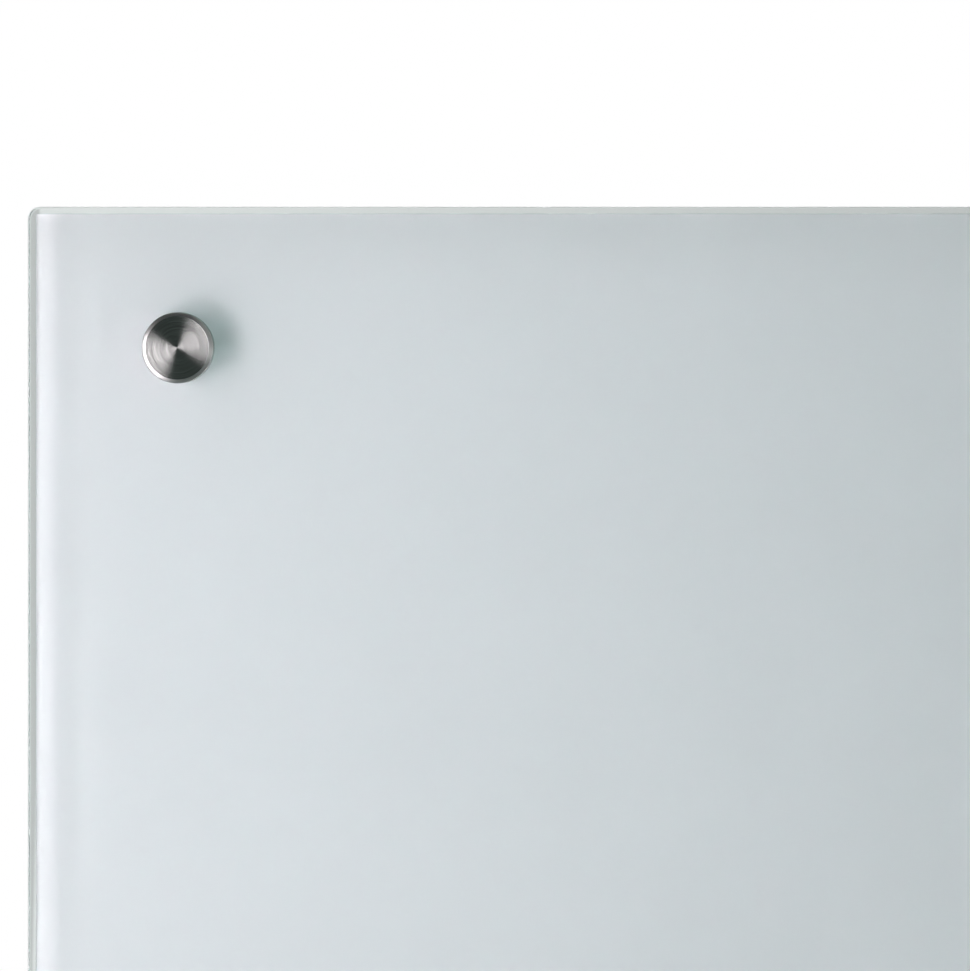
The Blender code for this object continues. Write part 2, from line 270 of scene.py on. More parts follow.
# Streaks that run round a turned piece: fine across its lines, long along them
def turningLines(tree, lineWidth, streaks):
    coordinates = addNode(tree, "TexCoord")
    split = addNode(tree, "SeparateXYZ")
    join(tree, coordinates, "Object", split, "Vector")
    flat = addNode(tree, "CombineXYZ")
    join(tree, split, "X", flat, "X")
    join(tree, split, "Y", flat, "Y")
    distance = addNode(tree, "VectorMath", operation="LENGTH")
    join(tree, flat, "Vector", distance, 0)
    across = addNode(tree, "Math", operation="ADD")
    join(tree, distance, "Value", across, 0)
    join(tree, split, "Z", across, 1)
    fine = addNode(tree, "Math", {1: 1 / lineWidth}, operation="MULTIPLY")
    join(tree, across, "Value", fine, 0)
    heading = addNode(tree, "VectorMath", operation="NORMALIZE")
    join(tree, flat, "Vector", heading, 0)
    around = addNode(tree, "VectorMath", {1: (streaks, streaks, 0)}, operation="MULTIPLY")
    join(tree, heading, "Vector", around, 0)
    turn = addNode(tree, "SeparateXYZ")
    join(tree, around, "Vector", turn, "Vector")
    place = addNode(tree, "CombineXYZ")
    join(tree, fine, "Value", place, "X")
    join(tree, turn, "X", place, "Y")
    join(tree, turn, "Y", place, "Z")
    return noise(tree, place, "Vector", scale=1.0, detail=3.0, roughness=0.6)


def turnedSteel(name, look):
    material, tree, shader = newFinish(name, look["colour"], look["roughness"][0], 1.0)
    lines = turningLines(tree, look["lineWidth"], look["streaks"])
    colourBetween(tree, shader, lines, look["darkLine"], look["colour"])
    join(tree, between(tree, lines, *look["roughness"]), "Result", shader, "Roughness")
    addBump(tree, shader, lines, look["bump"], look["lineDepth"])
    shader.inputs["Anisotropic"].default_value = look["anisotropy"]
    shader.inputs["Anisotropic Rotation"].default_value = look["turn"]
    tangent = addNode(tree, "Tangent", direction_type="RADIAL", axis="Z")
    join(tree, tangent, "Tangent", shader, "Tangent")
    return material


# Steel with shade painted into its thread: its colour darkens from the crests down to the roots
def threadSteel(name, look):
    material, tree, shader = newFinish(name, look["colour"], look["roughness"][0], 1.0)
    coordinates = addNode(tree, "TexCoord")
    split = addNode(tree, "SeparateXYZ")
    join(tree, coordinates, "Object", split, "Vector")
    flat = addNode(tree, "CombineXYZ")
    join(tree, split, "X", flat, "X")
    join(tree, split, "Y", flat, "Y")
    distance = addNode(tree, "VectorMath", operation="LENGTH")
    join(tree, flat, "Vector", distance, 0)
    # Painted shade: a darker colour at the thread roots, blending to the steel's own colour at the
    # crests
    mix = addNode(tree, "Mix", data_type="RGBA")
    mix.inputs["A"].default_value = (*look["paintedRootShade"], 1)
    mix.inputs["B"].default_value = (*look["colour"], 1)
    depth = addNode(tree, "MapRange", {"From Min": look["root"], "From Max": look["crest"]})
    join(tree, distance, "Value", depth, "Value")
    join(tree, depth, "Result", mix, "Factor")
    grain = noise(tree, coordinates, "Object", look["grain"], detail=4.0)
    tinted = addNode(tree, "Mix", {"B": (*look["tint"], 1)}, data_type="RGBA")
    tree.links.new(mix.outputs["Result"], tinted.inputs["A"])
    join(tree, between(tree, grain, 0.0, look["tintShare"]), "Result", tinted, "Factor")
    tree.links.new(tinted.outputs["Result"], shader.inputs["Base Color"])
    join(tree, between(tree, grain, *look["roughness"]), "Result", shader, "Roughness")
    addBump(tree, shader, grain, look["bump"], look["grainDepth"])
    return material


# A moulded plastic: mottled colour, a fine skin and a little light let in
def mouldedNylon(name, look):
    material, tree, shader = newFinish(name, look["colour"], look["roughness"][0])
    coordinates = addNode(tree, "TexCoord")
    mottle = noise(tree, coordinates, "Object", look["mottle"], detail=3.0)
    colourBetween(tree, shader, mottle, look["shade"], look["colour"])
    skin = noise(tree, coordinates, "Object", look["grain"], detail=4.0)
    join(tree, between(tree, skin, *look["roughness"]), "Result", shader, "Roughness")
    addBump(tree, shader, skin, look["bump"], look["grainDepth"])
    shader.inputs["Transmission Weight"].default_value = look["clear"]
    shader.inputs["Subsurface Weight"].default_value = look["milky"]
    shader.inputs["Subsurface Scale"].default_value = look["scatter"]
    shader.inputs["IOR"].default_value = look["refraction"]
    return material


# The glass panel. Its faces are polished, its edge and its holes are ground satin, and the white
# enamel lies on its rear face, so light that is caught in the glass fills the shadows.
panel = {
    "cornerRadius": 3.2 * mm,
    "edgeRound": 0.4 * mm,
    "edgeSteps": 6,
    "cornerSteps": 12,
    "holeChamfer": 0.5 * mm,
    "holeRadius": 6.0 * mm,
    "holeSides": 72,
    "refraction": 1.52,
    "absorbColour": (0.2, 0.8, 0.65),  # what ordinary glass lets through, for its green edge
    "absorbDensity": 16.0,
    "edgeRoughness": (0.16, 0.22),
    "edgeGrain": 2500.0,
    "faceRoughness": 0.0,
    "satinFrom": 0.97,  # level enough to start being polished
    "enamel": (0.955, 0.88, 0.92),
    "enamelShade": (0.949, 0.874, 0.914),
    "enamelMargin": 0.2 * mm,  # inside the edge of the film
    "enamelMottle": 60.0,
    "flatWeight": 100,  # the faces stay optically flat up to the rounds
}


# Where the surface turns away from the flat, the glass is satin
def floatGlass():
    material, tree, shader = newFinish("float glass", (1.0, 1.0, 1.0), 0.0)
    shader.inputs["Transmission Weight"].default_value = 1.0
    shader.inputs["IOR"].default_value = panel["refraction"]
    absorb = addNode(tree, "VolumeAbsorption")
    absorb.inputs["Color"].default_value = (*panel["absorbColour"], 1)
    absorb.inputs["Density"].default_value = panel["absorbDensity"]
    join(tree, absorb, "Volume", tree.nodes["Material Output"], "Volume")

    coordinates = addNode(tree, "TexCoord")
    facing = addNode(tree, "SeparateXYZ")
    join(tree, coordinates, "Normal", facing, "Vector")
    flatness = addNode(tree, "Math", operation="ABSOLUTE")
    join(tree, facing, "Z", flatness, 0)
    flat = addNode(tree, "MapRange", {"From Min": panel["satinFrom"], "From Max": 1.0})
    join(tree, flatness, "Value", flat, "Value")
    grain = noise(tree, coordinates, "Object", panel["edgeGrain"], detail=3.0)
    roughness = addNode(tree, "Mix", {"B": panel["faceRoughness"]}, data_type="FLOAT")
    join(tree, flat, "Result", roughness, "Factor")
    join(tree, between(tree, grain, *panel["edgeRoughness"]), "Result", roughness, "A")
    join(tree, roughness, "Result", shader, "Roughness")
    return material


def whiteEnamel():
    material, tree, shader = newFinish("white enamel", panel["enamel"], 1.0)
    coordinates = addNode(tree, "TexCoord")
    mottle = noise(tree, coordinates, "Object", panel["enamelMottle"], detail=3.0)
    colourBetween(tree, shader, mottle, panel["enamelShade"], panel["enamel"])
    shader.inputs["Specular IOR Level"].default_value = 0.0
    return material


# The enamel covers the rear face inside a clear margin, whose four lines are cut into the mesh
def enamelledMesh(mesh, width, height):
    back = bmesh.new()
    back.from_mesh(mesh)
    for place, normal in (((width / 2, 0, 0), (1, 0, 0)), ((0, height / 2, 0), (0, 1, 0))):
        for side in (1, -1):
            whole = back.verts[:] + back.edges[:] + back.faces[:]
            line = side * Vector(place)
            bmesh.ops.bisect_plane(back, geom=whole, plane_co=line, plane_no=normal)
    for face in back.faces:
        middle = face.calc_center_median()
        inside = abs(middle.x) < width / 2 and abs(middle.y) < height / 2
        face.material_index = 1 if inside and face.normal.z < -level else 0
    back.to_mesh(mesh)
    back.free()
    return mesh


def buildGlass():
    size, middle, rear = measure("glass_panel")
    thickness = size.y
    half = thickness / 2
    outline = roundedRectangle(size.x, size.z, panel["cornerRadius"], panel["cornerSteps"])
    slab = sheet("glass slab", [outline], thickness, panel["edgeRound"], panel["edgeSteps"])
    glass = addObject("glassPanel", slab)
    radius = panel["holeRadius"]
    chamfer = panel["holeChamfer"]
    profile = [
        (0, half + chamfer),
        (radius + 2 * chamfer, half + chamfer),
        (radius, half - chamfer),
        (radius, -half + chamfer),
        (radius + 2 * chamfer, -half - chamfer),
        (0, -half - chamfer),
    ]
    drill = bakedMesh(turned("drill", profile, panel["holeSides"]))
    drills = []
    for corner in standoffs:
        place = measure(corner + "_cap")[1]
        tool = addObject("drill" + corner, drill)
        tool.location = (place.x - middle.x, place.z - middle.z, 0)
        boolean(glass, tool)
        drills.append(tool)
    mesh = bakedMesh(glass, drills)
    mesh.materials.clear()
    mesh.materials.append(floatGlass())
    mesh.materials.append(whiteEnamel())
    painted = measure("white_backing")[0]
    margin = 2 * panel["enamelMargin"]
    smoothMesh(enamelledMesh(mesh, painted.x - margin, painted.z - margin))
    for face in mesh.polygons:
        if abs(face.normal.z) > level:
            face.use_smooth = False
    glass = addObject("glassPanel", mesh)
    glass.rotation_euler = upright
    glass.location = (middle.x, -rear - half, middle.z)
    weighted = glass.modifiers.new("even shading", "WEIGHTED_NORMAL")
    weighted.keep_sharp = True
    weighted.weight = panel["flatWeight"]
    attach(glass, "board")
    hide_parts("glass_panel")
    print("glass panel", len(mesh.polygons), "faces")


# The white film on the rear of the enamel, which holds the glass together if it breaks
film = {
    "cornerRadius": 1.0 * mm,
    "edgeRound": 0.1 * mm,
    "edgeSteps": 2,
    "colour": (0.80, 0.82, 0.83),
    "shade": (0.76, 0.785, 0.80),
    "roughness": (0.42, 0.55),
    "mottle": 6.0,
    "skin": 900.0,
    "bump": 0.25,
    "skinDepth": 0.03 * mm,
}


def filmFinish():
    material, tree, shader = newFinish("white film", film["colour"], film["roughness"][0])
    coordinates = addNode(tree, "TexCoord")
    mottle = noise(tree, coordinates, "Object", film["mottle"], detail=4.0)
    colourBetween(tree, shader, mottle, film["shade"], film["colour"])
    skin = noise(tree, coordinates, "Object", film["skin"])
    join(tree, between(tree, skin, *film["roughness"]), "Result", shader, "Roughness")
    addBump(tree, shader, skin, film["bump"], film["skinDepth"])
    return material


def buildFilm():
    size, middle, rear = measure("white_backing")
    outlines = [roundedRectangle(size.x, size.z, film["cornerRadius"], panel["cornerSteps"])]
    radius = panel["holeRadius"]
    for corner in standoffs:
        place = measure(corner + "_cap")[1]
        centre = (place.x - middle.x, place.z - middle.z)
        outlines.append(arc(centre, radius, 0, 360, panel["holeSides"])[:-1])
    mesh = smoothMesh(sheet("white film", outlines, size.y, film["edgeRound"], film["edgeSteps"]))
    mesh.materials.clear()
    mesh.materials.append(filmFinish())
    piece = addObject("backingFilm", mesh)
    piece.rotation_euler = upright
    piece.location = (middle.x, -rear - size.y / 2, middle.z)
    weighted = piece.modifiers.new("even shading", "WEIGHTED_NORMAL")
    weighted.keep_sharp = True
    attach(piece, "board")
    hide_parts("white_backing")
    print("backing film", len(mesh.polygons), "faces")


# The cap: a turned disc with circular lines on its face and a finer, sloping rim
cap = {
    "sides": 128,
    "rimWidth": 1.0 * mm,
    "rimSlope": 22,
    "rimRound": 0.4 * mm,
    "rimSteps": 8,
    "rimLowest": 0.02,  # faces outside the groove that look up by more than this are the rim
    "grooveWidth": 0.3 * mm,  # the fine turned line between the face and the rim
    "grooveDepth": 0.012 * mm,
    "footRound": 0.3 * mm,
    "footSteps": 4,
    "sharpFrom": 15,
    "boreRadius": 4.3 * mm,
    "boreDepth": 4.8 * mm,
    "face": {
        "colour": (0.54, 0.57, 0.545),
        "darkLine": (0.33, 0.35, 0.335),
        "roughness": (0.19, 0.21),
        "lineWidth": 0.3 * mm,
        "streaks": 0.7,
        "bump": 0.015,
        "lineDepth": 0.01 * mm,
        "anisotropy": 1.0,
        "turn": 0.25,  # a quarter, so that the shine stretches across the lines
    },
    "rim": {
        "colour": (0.47, 0.48, 0.47),
        "darkLine": (0.42, 0.43, 0.42),
        "roughness": (0.29, 0.31),
        "lineWidth": 0.2 * mm,
        "streaks": 0.7,
        "bump": 0.02,
        "lineDepth": 0.005 * mm,
        "anisotropy": 0.8,
        "turn": 0.25,
    },
}


def buildCaps():
    size = measure("top_left_cap")[0]
    radius = size.x / 2
    height = size.y
    rim = cap["rimRound"]
    foot = cap["footRound"]
    groove = cap["grooveWidth"]
    slope = math.radians(cap["rimSlope"])
    inner = radius - cap["rimWidth"]  # where the face ends and the sloping rim begins
    flank = radius - rim + rim * math.sin(slope) - inner
    centre = (radius - rim, height - flank * math.tan(slope) - rim * math.cos(slope))
    profile = [
        (0, height),
        (inner - groove, height),
        (inner - groove / 2, height - cap["grooveDepth"]),
        (inner, height),
    ]
    profile += arc(centre, rim, 90 - cap["rimSlope"], 0, cap["rimSteps"])
    profile += arc((radius - foot, foot), foot, 0, -90, cap["footSteps"])
    profile += [
        (cap["boreRadius"], 0),
        (cap["boreRadius"], cap["boreDepth"]),
        (0, cap["boreDepth"]),
    ]
    mesh = smoothMesh(bakedMesh(turned("cap", profile, cap["sides"])), cap["sharpFrom"])
    mesh.materials.append(turnedSteel("turned cap steel", cap["face"]))
    mesh.materials.append(turnedSteel("polished rim steel", cap["rim"]))
    for face in mesh.polygons:
        outer = math.hypot(face.center.x, face.center.y) > inner
        if outer and cap["rimLowest"] < face.normal.z < level:
            face.material_index = 1
    placeFour("cap", "cap", mesh, "cap_body")
    print("caps", len(mesh.polygons), "faces each")


# A bar with an outside thread, longer than needed, to be cut to length
def threadedBar(name, core, outer, pitch, crest, start, turns, sides):
    flat = (pitch - crest) / 8
    middle = start + pitch / 2
    shape = [
        (core, start + pitch),
        (outer, middle + crest / 2),
        (outer, middle - crest / 2),
        (core, start + flat),
        (core, start),
    ]
    bar = turned(name, shape, sides)
    bar.modifiers["turn"].screw_offset = pitch
    bar.modifiers["turn"].iterations = turns
    mesh = bakedMesh(bar)
    ends = bmesh.new()
    ends.from_mesh(mesh)
    bmesh.ops.remove_doubles(ends, verts=ends.verts, dist=0.002 * mm)
    bmesh.ops.holes_fill(ends, edges=[edge for edge in ends.edges if edge.is_boundary], sides=0)
    bmesh.ops.recalc_face_normals(ends, faces=ends.faces)
    ends.to_mesh(mesh)
    ends.free()
    return addObject(name, mesh)


# The stud: a metric thread over its whole length and the hexagon socket that drives it
stud = {
    "sides": 36,
    "pitch": 1.25 * mm,
    "threadDepth": 0.72 * mm,
    "crest": 0.18 * mm,
    "endChamfer": 0.8 * mm,
    "sharpFrom": 40,
    "spareTurns": 4,  # turned past both ends and cut off there
    "socketFlats": 4.0 * mm,
    "socketDepth": 4.0 * mm,
    "steel": {
        "colour": (0.60, 0.59, 0.58),
        # painted shade: the colour at the thread roots, fading out between the root and crest radii
        "paintedRootShade": (0.30, 0.295, 0.285),
        "tint": (0.52, 0.50, 0.47),
        "tintShare": 0.4,
        "root": 3.2 * mm,
        "crest": 4.0 * mm,
        "grain": 1200.0,
        "roughness": (0.26, 0.38),
        "bump": 0.1,
        "grainDepth": 0.01 * mm,
    },
}


def buildStuds():
    size = measure("top_left_cap_stud")[0]
    radius = size.x / 2
    length = size.y
    pitch = stud["pitch"]
    chamfer = stud["endChamfer"]
    turns = math.ceil(length / pitch) + stud["spareTurns"]
    body = threadedBar("stud", radius - stud["threadDepth"], radius, pitch, stud["crest"],
                       -2 * pitch, turns, stud["sides"])
    envelope = [
        (0, length),
        (radius - chamfer, length),
        (radius + chamfer, length - 2 * chamfer),
        (radius + chamfer, 2 * chamfer),
        (radius - chamfer, 0),
        (0, 0),
    ]
    limit = turned("stud limit", envelope, stud["sides"])
    corner = stud["socketFlats"] / math.sqrt(3)
    depth = stud["socketDepth"]
    key = [(0, depth + corner / 2), (corner, depth), (corner, -chamfer), (0, -chamfer)]
    socket = turned("socket", key, 6)
    boolean(body, limit, "INTERSECT")
    boolean(body, socket)
    mesh = smoothMesh(bakedMesh(body, [limit, socket]), stud["sharpFrom"])
    mesh.materials.clear()
    mesh.materials.append(threadSteel("threaded stud steel", stud["steel"]))
    placeFour("stud", "cap_stud", mesh, "cap_body")
    print("studs", len(mesh.polygons), "faces each")


# Washers and the sleeve in the hole of the glass, of milky nylon with broken edges
nylon = {
    "sides": 96,
    "boreRadius": 4.3 * mm,
    "edgeRound": 0.18 * mm,
    "edgeSteps": 4,
    "clear": {
        "colour": (0.86, 0.87, 0.85),
        "shade": (0.80, 0.81, 0.79),
        "roughness": (0.34, 0.46),
        "mottle": 300.0,
        "grain": 1800.0,
        "bump": 0.12,
        "grainDepth": 0.01 * mm,
        "clear": 0.35,
        "milky": 0.3,
        "scatter": 1.0 * mm,
        "refraction": 1.53,
    },
}


def ringMesh(name, radius, height, material):
    edge = nylon["edgeRound"]
    steps = nylon["edgeSteps"]
    bore = nylon["boreRadius"]
    profile = arc((radius - edge, height - edge), edge, 90, 0, steps)
    profile += arc((radius - edge, edge), edge, 0, -90, steps)
    profile += arc((bore + edge, edge), edge, -90, -180, steps)
    profile += arc((bore + edge, height - edge), edge, 180, 90, steps)
    mesh = smoothMesh(bakedMesh(turned(name, profile, nylon["sides"], closed=True)))
    mesh.materials.append(material)
    return mesh


def buildNylon():
    material = mouldedNylon("milky nylon", nylon["clear"])
    for label, node, body in (
        ("frontWasher", "front_washer", "washer_body"),
        ("rearWasher", "rear_washer", "board"),
        ("holeSleeve", "hole_sleeve", "board"),
    ):
        size = measure("top_left_" + node)[0]
        mesh = ringMesh(label, size.x / 2, size.y, material)
        placeFour(label, node, mesh, body)
    print("nylon washers and sleeves")


# The barrel: a turned tube with a countersunk floor and a recess for the plug's collar
barrel = {
    "sides": 128,
    "endRound": 0.4 * mm,
    "endSteps": 5,
    "mouthChamfer": 0.6 * mm,
    "floor": 3.0 * mm,
    "recessRadius": 5.5 * mm,
    "recessDepth": 1.0 * mm,
    "screwHole": 2.5 * mm,
    "steel": {
        "colour": (0.66, 0.65, 0.64),
        "darkLine": (0.54, 0.53, 0.52),
        "roughness": (0.22, 0.34),
        "lineWidth": 0.18 * mm,
        "streaks": 2.0,
        "bump": 0.12,
        "lineDepth": 0.01 * mm,
        "anisotropy": 0.7,
        "turn": 0.25,
    },
}


def buildBarrels():
    size = measure("top_left_barrel")[0]
    radius = size.x / 2
    length = size.y
    edge = barrel["endRound"]
    bore = cap["boreRadius"]
    mouth = barrel["mouthChamfer"]
    seat = barrel["recessDepth"] + barrel["floor"]
    hole = barrel["screwHole"]
    profile = arc((radius - edge, length - edge), edge, 90, 0, barrel["endSteps"])
    profile += arc((radius - edge, edge), edge, 0, -90, barrel["endSteps"])
    profile += [
        (barrel["recessRadius"], 0),
        (barrel["recessRadius"], barrel["recessDepth"]),
        (hole, barrel["recessDepth"]),
        (hole, seat - (bore - hole)),
        (bore, seat),
        (bore, length - mouth),
        (bore + mouth, length),
    ]
    mesh = smoothMesh(bakedMesh(turned("barrel", profile, barrel["sides"], closed=True)))
    mesh.materials.append(turnedSteel("turned barrel steel", barrel["steel"]))
    placeFour("barrel", "barrel", mesh, "board")
    print("barrels", len(mesh.polygons), "faces each")


# The wall screw: countersunk head with a cross recess, and a coarse thread down to its point
screw = {
    "sides": 48,
    "headRadius": 3.8 * mm,
    "headRim": 0.3 * mm,
    "coreRadius": 1.5 * mm,
    "neck": 8.5 * mm,
    "neckRadius": 1.62 * mm,
    "tip": 4.0 * mm,
    "threadRadius": 2.15 * mm,
    "pitch": 2.0 * mm,
    "crest": 0.12 * mm,
    "spareTurns": 3,
    "crossWidth": 4.2 * mm,
    "crossBlade": 0.9 * mm,
    "crossDepth": 2.1 * mm,
    "crossTaper": 0.45,
    "sharpFrom": 35,
    "steel": {
        "colour": (0.62, 0.63, 0.65),
        # painted shade: the colour at the thread roots, fading out between the root and crest radii
        "paintedRootShade": (0.50, 0.51, 0.53),
        "tint": (0.62, 0.56, 0.44),
        "tintShare": 0.35,
        "root": 1.4 * mm,
        "crest": 2.1 * mm,
        "grain": 700.0,
        "roughness": (0.25, 0.42),
        "bump": 0.1,
        "grainDepth": 0.01 * mm,
    },
}


def buildScrews():
    length = measure("top_left_wall_screw")[0].y
    head = screw["headRadius"]
    rim = screw["headRim"]
    neck = screw["neckRadius"]
    threaded = length - screw["neck"]
    profile = [
        (0, length),
        (head, length),
        (head, length - rim),
        (neck, length - rim - head + neck),
        (neck, threaded),
        (neck - rim, threaded - rim),
        (0, threaded - rim),
    ]
    body = turned("screw", profile, screw["sides"])
    pitch = screw["pitch"]
    outer = screw["threadRadius"]
    turns = math.ceil(threaded / pitch) + screw["spareTurns"]
    thread = threadedBar("screw thread", screw["coreRadius"], outer, pitch, screw["crest"],
                         -2 * pitch, turns, screw["sides"])
    envelope = [
        (0, threaded),
        (neck - rim / 2, threaded),
        (outer + rim, threaded - 4 * rim),
        (outer + rim, screw["tip"]),
        (rim / 4, 0),
        (0, 0),
    ]
    limit = turned("thread limit", envelope, screw["sides"])
    boolean(thread, limit, "INTERSECT")
    thread = addObject("screw thread", tidyMesh(bakedMesh(thread, [limit])))
    depth = screw["crossDepth"] + rim
    centre = (0, 0, length + rim - depth / 2)
    wide = screw["crossWidth"]
    blade = screw["crossBlade"]
    cutters = []
    for size in ((wide, blade, depth), (blade, wide, depth)):
        cutters.append(block("cross", size, centre, screw["crossTaper"]))
    boolean(body, thread, "UNION")
    for cutter in cutters:
        boolean(body, cutter)
    mesh = smoothMesh(tidyMesh(bakedMesh(body, [thread, *cutters])), screw["sharpFrom"])
    mesh.materials.clear()
    mesh.materials.append(threadSteel("zinc plated screw", screw["steel"]))
    placeFour("wallScrew", "wall_screw", mesh, "board")
    print("wall screws", len(mesh.polygons), "faces each")


# The wall plug, moulded in grey nylon: collar, neck with two fins, barbs split by crossed slots
plug = {
    "sides": 64,
    "radius": 3.0 * mm,
    "boreRadius": 1.8 * mm,
    "collarRadius": 4.2 * mm,
    "collarThickness": 0.7 * mm,
    "neck": 7.5 * mm,
    "nose": 5.0 * mm,
    "noseRound": 0.8 * mm,
    "noseSteps": 4,
    "barbs": 5,
    "barbHeight": 0.5 * mm,
    "slotWidth": 0.8 * mm,
    "finHeight": 0.7 * mm,
    "finThickness": 0.8 * mm,
    "finMargin": 2.0 * mm,
    "edgeRound": 0.15 * mm,
    "edgeSteps": 3,
    "grey": {
        "colour": (0.50, 0.51, 0.52),
        "shade": (0.44, 0.45, 0.46),
        "roughness": (0.38, 0.52),
        "mottle": 200.0,
        "grain": 1500.0,
        "bump": 0.15,
        "grainDepth": 0.015 * mm,
        "clear": 0.0,
        "milky": 0.15,
        "scatter": 0.6 * mm,
        "refraction": 1.53,
    },
}


def buildPlugs():
    whole = measure("top_left_wall_plug")[0].y
    collar = plug["collarThickness"]
    length = whole - collar  # from the wall's face to the end of the nose
    radius = plug["radius"]
    root = radius - plug["barbHeight"]
    neck = plug["neck"]
    edge = plug["edgeRound"]
    barbed = length - neck - plug["nose"]
    flange = plug["collarRadius"]
    profile = arc((flange - edge, collar - edge), edge, 90, 0, plug["edgeSteps"])
    profile += [(flange, 0), (radius, 0), (radius, -neck)]
    for barb in range(plug["barbs"]):
        shoulder = -neck - barbed * (barb + 1) / plug["barbs"]
        profile += [(root, shoulder), (radius - edge / 2, shoulder), (radius, shoulder - edge / 2)]
    nose = plug["noseRound"]
    profile += arc((radius - nose, -length + nose), nose, 0, -90, plug["noseSteps"])
    profile += [(plug["boreRadius"], -length), (plug["boreRadius"], collar)]
    # The mesh is measured from its rear end, as every piece here is
    profile = [(r, z + length) for r, z in profile]
    body = turned("plug", profile, plug["sides"], closed=True)
    reach = 2 * (radius + plug["edgeRound"] + plug["barbHeight"])
    centre = (0, 0, length - neck - barbed / 2)
    slot = plug["slotWidth"]
    slots = [block("slot", size, centre) for size in ((reach, slot, barbed), (slot, reach, barbed))]
    low = length - neck + plug["finMargin"]
    high = length + collar / 2
    size = (plug["finHeight"] + plug["barbHeight"], plug["finThickness"], high - low)
    finX = root + size[0] / 2
    fins = [block("fin", size, (x, 0, (low + high) / 2)) for x in (finX, -finX)]
    for tool in slots:
        boolean(body, tool)
    for tool in fins:
        boolean(body, tool, "UNION")
    mesh = smoothMesh(bakedMesh(body, slots + fins))
    mesh.materials.clear()
    mesh.materials.append(mouldedNylon("grey moulded nylon", plug["grey"]))
    placeFour("wallPlug", "wall_plug", mesh, "board")
    print("wall plugs", len(mesh.polygons), "faces each")


buildGlass()
buildFilm()
buildCaps()
buildStuds()
buildNylon()
buildBarrels()
buildScrews()
buildPlugs()


# The photograph's frame, and where the board lies in it, in pixels
photo = {
    "width": 970,
    "height": 971,
    "glassLeft": 28.2,
    "glassTop": 207.0,
    "pixelsPerMetre": 3710,
    "lens": 125,
    "sensor": 36,
    "lensAbove": 37 * mm,  # the photograph is cropped: its lens stood level with the cap
}


def buildCamera():
    low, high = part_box("glass_panel")
    data = bpy.data.cameras.new("camera")
    data.lens = photo["lens"]
    data.sensor_width = photo["sensor"]
    camera = addObject("camera", data)
    distance = photo["width"] * photo["lens"] / photo["sensor"] / photo["pixelsPerMetre"]
    x = low.x + (photo["width"] / 2 - photo["glassLeft"]) / photo["pixelsPerMetre"]
    z = high.z - (photo["height"] / 2 - photo["glassTop"]) / photo["pixelsPerMetre"]
    camera.location = (x, low.y - distance, z + photo["lensAbove"])
    data.shift_y = -photo["lensAbove"] * photo["pixelsPerMetre"] / photo["width"]
    camera.rotation_euler = upright
    scene.camera = camera


# One large soft box, from the left and a little below
softBox = {
    "heading": 198,  # round the cap, in degrees from the right through the top
    "tilt": 34,  # from straight out of the board
    "distance": 0.93,
    "width": 0.42,
    "height": 0.78,
    "power": 6.5,
    "spread": 130,
    "colour": (1.0, 0.90, 0.95),
}


def buildSoftBox():
    target = measure("top_left_cap")[1]
    heading = math.radians(softBox["heading"])
    tilt = math.radians(softBox["tilt"])
    across = math.sin(tilt)
    towards = Vector((across * math.cos(heading), -math.cos(tilt), across * math.sin(heading)))
    data = bpy.data.lights.new("soft box", "AREA")
    data.shape = "RECTANGLE"
    data.size = softBox["width"]
    data.size_y = softBox["height"]
    data.energy = softBox["power"]
    data.spread = math.radians(softBox["spread"])
    data.color = softBox["colour"]
    lamp = addObject("softBox", data)
    lamp.location = target + towards * softBox["distance"]
    side = Vector((math.cos(heading), 0, math.sin(heading)))
    upwards = towards.cross(side).normalized()
    lamp.rotation_euler = Matrix((upwards.cross(towards), upwards, towards)).transposed().to_euler()
    return lamp


# A dim studio in front of the board, paler below. Behind the board hangs a backdrop that is
# brighter at its left, where the soft box stands, and ends a little inside the photograph's frame.
# Places are shares of a direction: to the right, up, or towards the wall.
studio = {
    # In front: the brightness low down and high up, and the rise at which each begins
    "below": 0.22,
    "above": 0.055,
    "belowFrom": -0.9,
    "aboveFrom": 0.1,
    "tint": (0.82, 1.0, 0.95),
    # What plain surfaces get from the front and from the rear, and where the front ends
    "open": 0.6,
    "rear": 0.85,
    "frontTo": -0.08,
    "rearFrom": 0.12,
    # The backdrop, from left to right as the camera sees it, and what lies beside it
    "beside": 0.58,
    "backdropLeft": 0.83,
    "backdropRight": 0.59,
    "backdropFrom": -0.1305,
    "backdropTo": 0.14,
    "backdropEdge": 0.0008,
    # The fill grows to the right
    "fill": 0.35,
    "fillFrom": 0.1,
    "fillTo": 0.7,
    "fillTint": (0.1, 1.0, 0.6),
    # The card fades in to the right, and falls off above and below its middle
    "card": 1.0,
    "cardFrom": 0.35,
    "cardTo": 0.55,
    "cardFoot": 0.15,
    "cardFootTo": -0.32,
    "cardFullFrom": -0.2,
    "cardFullTo": -0.05,
    "cardTopFrom": 0.1,
    "cardTop": 0.3,
}


